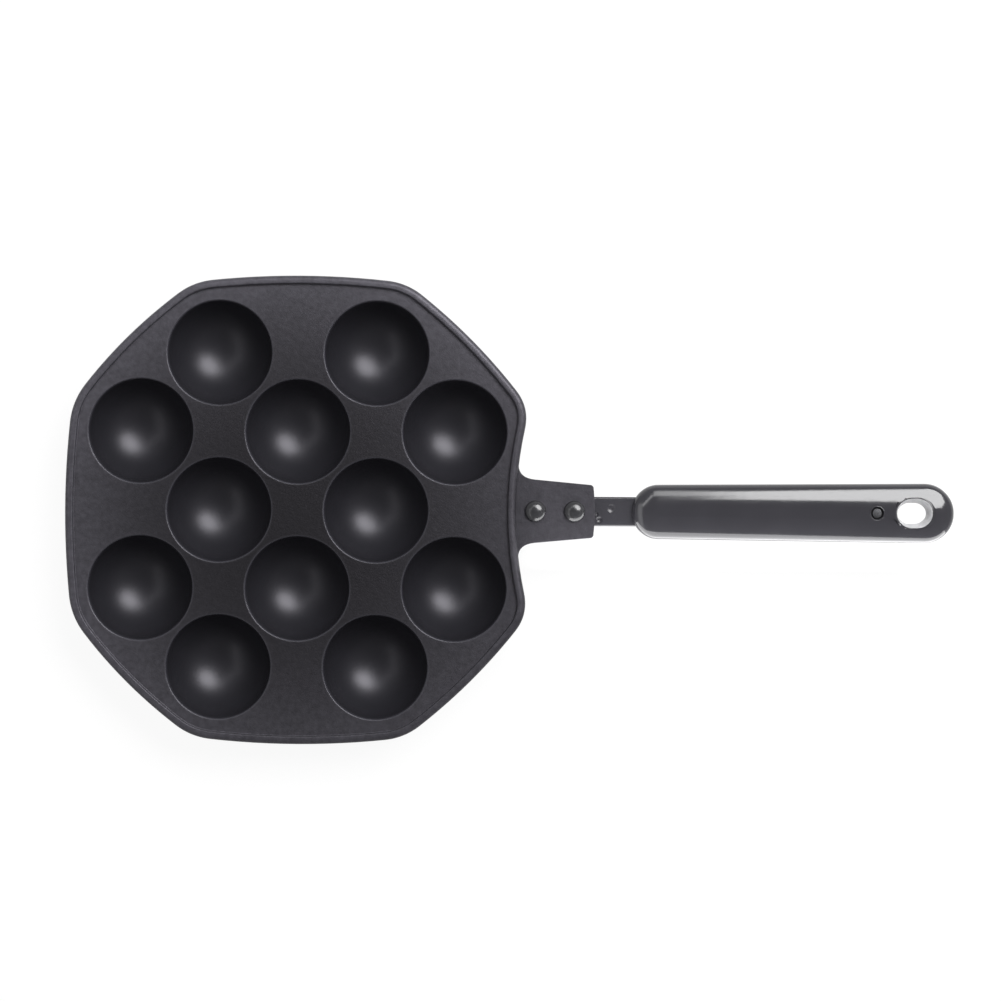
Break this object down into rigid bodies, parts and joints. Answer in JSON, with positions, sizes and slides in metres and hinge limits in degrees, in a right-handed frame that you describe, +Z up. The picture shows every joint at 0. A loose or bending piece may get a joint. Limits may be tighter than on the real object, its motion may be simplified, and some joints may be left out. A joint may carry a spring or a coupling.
{
  "type": "takoyaki pan",
  "caption": "Stovetop takoyaki pan: a cast eight-sided plate with round cups, a raised rim, a riveted neck strap and a moulded grip with a hanging hole.",
  "frame": {"origin": "under the middle of the whole object's box, on the plane of the flats under the cups", "axes": "+X from the plate towards the grip, +Z up, +Y to the left seen from the plate"},
  "size_m": [0.3794, 0.2002, 0.0285],
  "materials": {
    "non_stick_coating": "cast aluminium with a satin black non-stick coating",
    "rivet_black": "black coated rivets with a soft gloss",
    "strap_steel": "black enamelled flat steel bar",
    "grip_plastic": "glossy black heat-proof moulding",
    "pin_steel": "dull steel pin"
  },
  "bodies": {
    "root": {"pan_casting": "non_stick_coating", "front_rivet": "rivet_black", "rear_rivet": "rivet_black", "neck_strap": "strap_steel", "handle_grip": "grip_plastic", "handle_pin": "pin_steel"}
  },
  "joints": []
}
